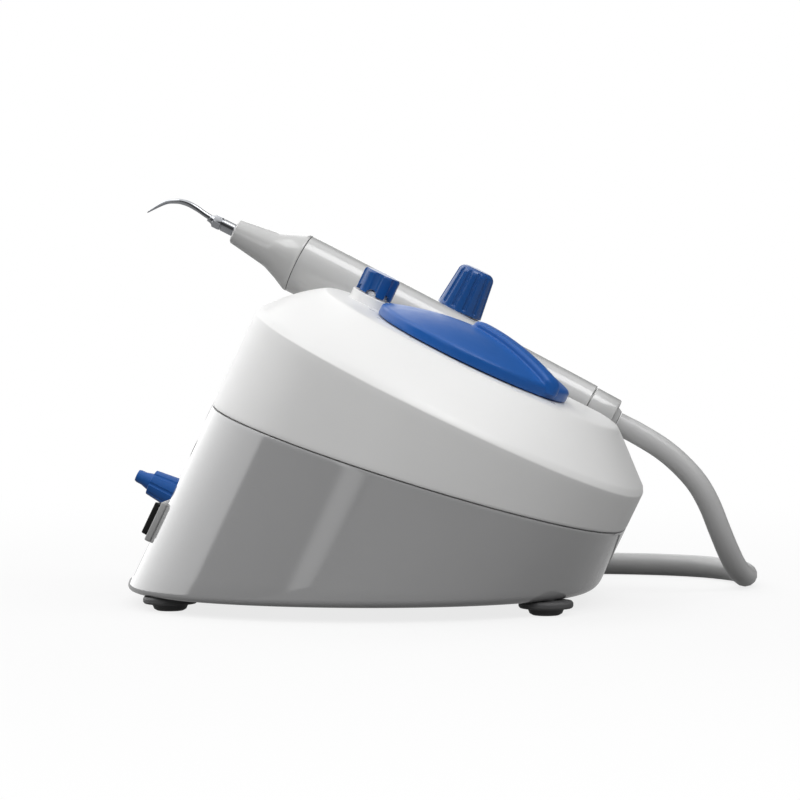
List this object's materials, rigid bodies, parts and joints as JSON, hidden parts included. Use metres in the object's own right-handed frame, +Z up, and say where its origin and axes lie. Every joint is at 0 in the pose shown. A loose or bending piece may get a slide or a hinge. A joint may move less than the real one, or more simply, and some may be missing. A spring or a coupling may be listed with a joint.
{
  "type": "ultrasonic dental scaler",
  "caption": "Tabletop ultrasonic dental scaler: sloping two-tone box with a blue power dial, small knobs, and a tapered handpiece in a channel with a hooked tip and a coiled cord.",
  "frame": {"origin": "centre of the underside of the box around the generator and its handpiece, without the free cord; the feet stand on Z = 0", "axes": "+X towards the low front edge, +Y towards the handpiece's side, +Z up"},
  "size_m": [0.1875, 0.2383, 0.12],
  "materials": {
    "white_shell": "satin",
    "grey_shell": "gloss",
    "foot_rubber": "matt",
    "zinc": "plated",
    "blue_plastic": "satin",
    "bright_steel": "machined",
    "control_metal": "plated",
    "black_plastic": "matt",
    "board_green": "coated",
    "brass": "machined",
    "hose_clear": "clear",
    "black_metal": "anodised",
    "part_plastic": "matt",
    "winding": "lacquered",
    "bezel_grey": "satin",
    "handpiece_white": "satin",
    "seal_black": "matt",
    "ceramic": "fired",
    "tip_steel": "polished",
    "cord_grey": "satin",
    "gland_black": "matt"
  },
  "bodies": {
    "generator": {"upper_shell": "white_shell", "lower_shell": "grey_shell", "rubber_feet": "foot_rubber", "case_screws": "zinc", "power_control": "control_metal", "control_nut": "zinc", "mode_switch": "black_plastic", "control_board": "board_green", "water_valve": "brass", "solenoid_valve": "black_plastic", "water_hoses": "hose_clear", "water_inlet": "blue_plastic", "inlet_nut": "zinc", "generator_board": "board_green", "board_spacers": "zinc", "board_screws": "zinc", "heat_sink": "black_metal", "board_parts": "part_plastic", "transformer": "winding", "transformer_clamp": "zinc", "switch_bezel": "bezel_grey", "mains_inlet": "black_plastic", "fuse_holder": "black_plastic", "footswitch_socket": "bright_steel", "cord_gland": "gland_black", "handpiece_cord": "cord_grey", "cord_coil": "cord_grey", "cord_tail": "cord_grey", "cord_tie": "seal_black"},
    "power_dial": {"power_dial": "blue_plastic", "dial_shaft": "bright_steel"},
    "mode_knob": {"mode_knob": "blue_plastic", "mode_shaft": "bright_steel"},
    "water_knob": {"water_knob": "blue_plastic", "valve_spindle": "bright_steel"},
    "power_rocker": {"power_rocker": "black_plastic"},
    "handpiece": {"handpiece_body": "handpiece_white", "nose_cone": "handpiece_white", "nose_seal": "seal_black", "handpiece_collar": "handpiece_white", "transducer_horn": "bright_steel", "piezo_rings": "ceramic", "back_mass": "bright_steel", "scaler_tip": "tip_steel", "cord_relief": "cord_grey"}
  },
  "joints": [
    {"name": "power_dial_turn", "type": "hinge", "parent": "generator", "child": "power_dial", "pos_m": [0.02775, -0.0089, 0.07316], "axis": [-0.4321, 0, -0.9018], "range_deg": [0, 300]},
    {"name": "mode_knob_turn", "type": "hinge", "parent": "generator", "child": "mode_knob", "pos_m": [-0.00354, 0.006, 0.0907], "axis": [-0.4321, 0, -0.9018], "range_deg": [0, 90]},
    {"name": "water_knob_turn", "type": "hinge", "parent": "generator", "child": "water_knob", "pos_m": [0.01757, 0.051, 0.08525], "axis": [-0.4321, 0, -0.9018], "range_deg": [0, 270]},
    {"name": "power_rocker_tilt", "type": "hinge", "parent": "generator", "child": "power_rocker", "pos_m": [-0.06334, -0.0155, 0.02444], "axis": [0.4321, 0, 0.9018], "range_deg": [0, 16]},
    {"name": "handpiece_lift", "type": "slide", "parent": "generator", "child": "handpiece", "axis": [0.4321, 0, 0.9018], "range_m": [0, 0.03]}
  ]
}
